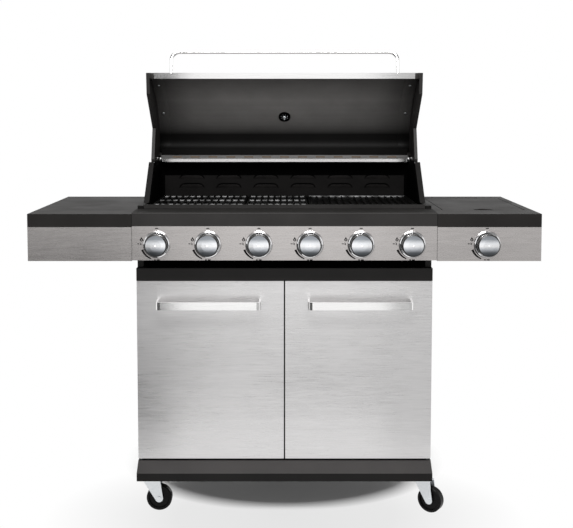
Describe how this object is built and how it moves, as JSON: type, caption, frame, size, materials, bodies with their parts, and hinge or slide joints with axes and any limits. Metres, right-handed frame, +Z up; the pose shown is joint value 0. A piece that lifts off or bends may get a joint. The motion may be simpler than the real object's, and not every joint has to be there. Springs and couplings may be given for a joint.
{
  "type": "gas barbecue grill",
  "caption": "Free-standing gas barbecue with open roll-top hood, cast grates, burner knobs, two side tables, a flush side-burner lid and a two-door cabinet on swivel casters.",
  "frame": {"origin": "centre of the bounding box at floor level, with the hood open", "axes": "+X to the right seen from the front, +Y from the front to the back, +Z up"},
  "size_m": [1.438, 0.6034, 1.3652],
  "materials": {
    "black_steel": "black satin powder coat on sheet steel",
    "enamel": "dark grey heat-resistant satin enamel",
    "stainless": "horizontally brushed stainless steel",
    "chrome": "polished chrome plate",
    "knob_metal": "satin spun metal cap",
    "zinc_steel": "bright zinc-plated steel",
    "brass": "machined brass",
    "cast_iron": "matt black enamelled cast iron",
    "wheel_plastic": "glossy black moulded wheel"
  },
  "bodies": {
    "cabinet": {"bottom_shelf": "black_steel", "cabinet_sides": "black_steel", "cabinet_back": "black_steel", "front_rail": "black_steel", "door_pins": "zinc_steel", "caster_plates": "zinc_steel", "control_panel": "stainless", "control_fascia": "black_steel", "knob_bezels": "chrome", "gas_manifold": "zinc_steel", "gas_inlet": "brass", "gas_valves": "brass", "firebox_tub": "enamel", "firebox_sides": "black_steel", "firebox_back": "enamel", "rear_rail": "stainless", "burners": "stainless", "flame_tamers": "stainless", "grate_left": "cast_iron", "grate_middle": "cast_iron", "griddle_plate": "cast_iron", "side_table_left": "black_steel", "side_table_right": "black_steel", "side_panels": "stainless", "table_brackets": "black_steel", "side_burner": "enamel", "side_burner_grid": "cast_iron"},
    "hood": {"hood_skin": "stainless", "hood_liner": "enamel", "hood_ends": "black_steel", "hood_handle": "stainless", "hood_thermometer": "chrome"},
    "door_left": {"door_left": "stainless", "door_handle_left": "stainless"},
    "door_right": {"door_right": "stainless", "door_handle_right": "stainless"},
    "burner_lid": {"burner_lid": "black_steel"},
    "grease_tray": {"grease_tray": "zinc_steel"},
    "valve_stem_1": {"valve_stem_1": "zinc_steel"},
    "knob_1": {"knob_1": "knob_metal"},
    "valve_stem_2": {"valve_stem_2": "zinc_steel"},
    "knob_2": {"knob_2": "knob_metal"},
    "valve_stem_3": {"valve_stem_3": "zinc_steel"},
    "knob_3": {"knob_3": "knob_metal"},
    "valve_stem_4": {"valve_stem_4": "zinc_steel"},
    "knob_4": {"knob_4": "knob_metal"},
    "valve_stem_5": {"valve_stem_5": "zinc_steel"},
    "knob_5": {"knob_5": "knob_metal"},
    "valve_stem_6": {"valve_stem_6": "zinc_steel"},
    "knob_6": {"knob_6": "knob_metal"},
    "valve_stem_side": {"valve_stem_side": "zinc_steel"},
    "knob_side": {"knob_side": "knob_metal"},
    "caster_fork_front_left": {"caster_fork_front_left": "zinc_steel"},
    "wheel_front_left": {"wheel_front_left": "wheel_plastic"},
    "caster_fork_front_right": {"caster_fork_front_right": "zinc_steel"},
    "wheel_front_right": {"wheel_front_right": "wheel_plastic"},
    "caster_fork_rear_left": {"caster_fork_rear_left": "zinc_steel"},
    "wheel_rear_left": {"wheel_rear_left": "wheel_plastic"},
    "caster_fork_rear_right": {"caster_fork_rear_right": "zinc_steel"},
    "wheel_rear_right": {"wheel_rear_right": "wheel_plastic"}
  },
  "joints": [
    {"name": "hood_hinge", "type": "hinge", "parent": "cabinet", "child": "hood", "pos_m": [0, 0.18933, 1.019], "axis": [1, 0, 0], "range_deg": [0, 82]},
    {"name": "door_left_hinge", "type": "hinge", "parent": "cabinet", "child": "door_left", "pos_m": [-0.419, -0.17767, 0.43], "axis": [0, 0, -1], "range_deg": [0, 105]},
    {"name": "door_right_hinge", "type": "hinge", "parent": "cabinet", "child": "door_right", "pos_m": [0.419, -0.17767, 0.43], "axis": [0, 0, 1], "range_deg": [0, 105]},
    {"name": "burner_lid_hinge", "type": "hinge", "parent": "cabinet", "child": "burner_lid", "pos_m": [0.5775, 0.21633, 0.8862], "axis": [-1, 0, 0], "range_deg": [0, 92]},
    {"name": "grease_tray_slide", "type": "slide", "parent": "cabinet", "child": "grease_tray", "axis": [0, 1, 0], "range_m": [0, 0.38]},
    {"name": "knob_turn_1", "type": "hinge", "parent": "cabinet", "child": "valve_stem_1", "pos_m": [-0.3575, -0.26767, 0.806], "axis": [0, -1, 0], "range_deg": [0, 180]},
    {"name": "knob_push_1", "type": "slide", "parent": "valve_stem_1", "child": "knob_1", "axis": [0, 1, 0], "range_m": [0, 0.004], "stiffness_N_per_m": 600},
    {"name": "knob_turn_2", "type": "hinge", "parent": "cabinet", "child": "valve_stem_2", "pos_m": [-0.2145, -0.26767, 0.806], "axis": [0, -1, 0], "range_deg": [0, 180]},
    {"name": "knob_push_2", "type": "slide", "parent": "valve_stem_2", "child": "knob_2", "axis": [0, 1, 0], "range_m": [0, 0.004], "stiffness_N_per_m": 600},
    {"name": "knob_turn_3", "type": "hinge", "parent": "cabinet", "child": "valve_stem_3", "pos_m": [-0.0715, -0.26767, 0.806], "axis": [0, -1, 0], "range_deg": [0, 180]},
    {"name": "knob_push_3", "type": "slide", "parent": "valve_stem_3", "child": "knob_3", "axis": [0, 1, 0], "range_m": [0, 0.004], "stiffness_N_per_m": 600},
    {"name": "knob_turn_4", "type": "hinge", "parent": "cabinet", "child": "valve_stem_4", "pos_m": [0.0715, -0.26767, 0.806], "axis": [0, -1, 0], "range_deg": [0, 180]},
    {"name": "knob_push_4", "type": "slide", "parent": "valve_stem_4", "child": "knob_4", "axis": [0, 1, 0], "range_m": [0, 0.004], "stiffness_N_per_m": 600},
    {"name": "knob_turn_5", "type": "hinge", "parent": "cabinet", "child": "valve_stem_5", "pos_m": [0.2145, -0.26767, 0.806], "axis": [0, -1, 0], "range_deg": [0, 180]},
    {"name": "knob_push_5", "type": "slide", "parent": "valve_stem_5", "child": "knob_5", "axis": [0, 1, 0], "range_m": [0, 0.004], "stiffness_N_per_m": 600},
    {"name": "knob_turn_6", "type": "hinge", "parent": "cabinet", "child": "valve_stem_6", "pos_m": [0.3575, -0.26767, 0.806], "axis": [0, -1, 0], "range_deg": [0, 180]},
    {"name": "knob_push_6", "type": "slide", "parent": "valve_stem_6", "child": "knob_6", "axis": [0, 1, 0], "range_m": [0, 0.004], "stiffness_N_per_m": 600},
    {"name": "knob_turn_side", "type": "hinge", "parent": "cabinet", "child": "valve_stem_side", "pos_m": [0.567, -0.26767, 0.806], "axis": [0, -1, 0], "range_deg": [0, 180]},
    {"name": "knob_push_side", "type": "slide", "parent": "valve_stem_side", "child": "knob_side", "axis": [0, 1, 0], "range_m": [0, 0.004], "stiffness_N_per_m": 600},
    {"name": "swivel_front_left", "type": "hinge", "parent": "cabinet", "child": "caster_fork_front_left", "pos_m": [-0.403, -0.15567, 0.095], "axis": [0, 0, 1], "continuous": true},
    {"name": "wheel_spin_front_left", "type": "hinge", "parent": "caster_fork_front_left", "child": "wheel_front_left", "pos_m": [-0.37, -0.15567, 0.0375], "axis": [0, 1, 0], "continuous": true},
    {"name": "swivel_front_right", "type": "hinge", "parent": "cabinet", "child": "caster_fork_front_right", "pos_m": [0.403, -0.15567, 0.095], "axis": [0, 0, 1], "continuous": true},
    {"name": "wheel_spin_front_right", "type": "hinge", "parent": "caster_fork_front_right", "child": "wheel_front_right", "pos_m": [0.43068, -0.17364, 0.0375], "axis": [0.5446, 0.8387, 0], "continuous": true},
    {"name": "swivel_rear_left", "type": "hinge", "parent": "cabinet", "child": "caster_fork_rear_left", "pos_m": [-0.403, 0.20033, 0.095], "axis": [0, 0, 1], "continuous": true},
    {"name": "wheel_spin_rear_left", "type": "hinge", "parent": "caster_fork_rear_left", "child": "wheel_rear_left", "pos_m": [-0.37199, 0.21162, 0.0375], "axis": [-0.342, 0.9397, 0], "continuous": true},
    {"name": "swivel_rear_right", "type": "hinge", "parent": "cabinet", "child": "caster_fork_rear_right", "pos_m": [0.403, 0.20033, 0.095], "axis": [0, 0, 1], "continuous": true},
    {"name": "wheel_spin_rear_right", "type": "hinge", "parent": "caster_fork_rear_right", "child": "wheel_rear_right", "pos_m": [0.37199, 0.21162, 0.0375], "axis": [-0.342, -0.9397, 0], "continuous": true}
  ]
}
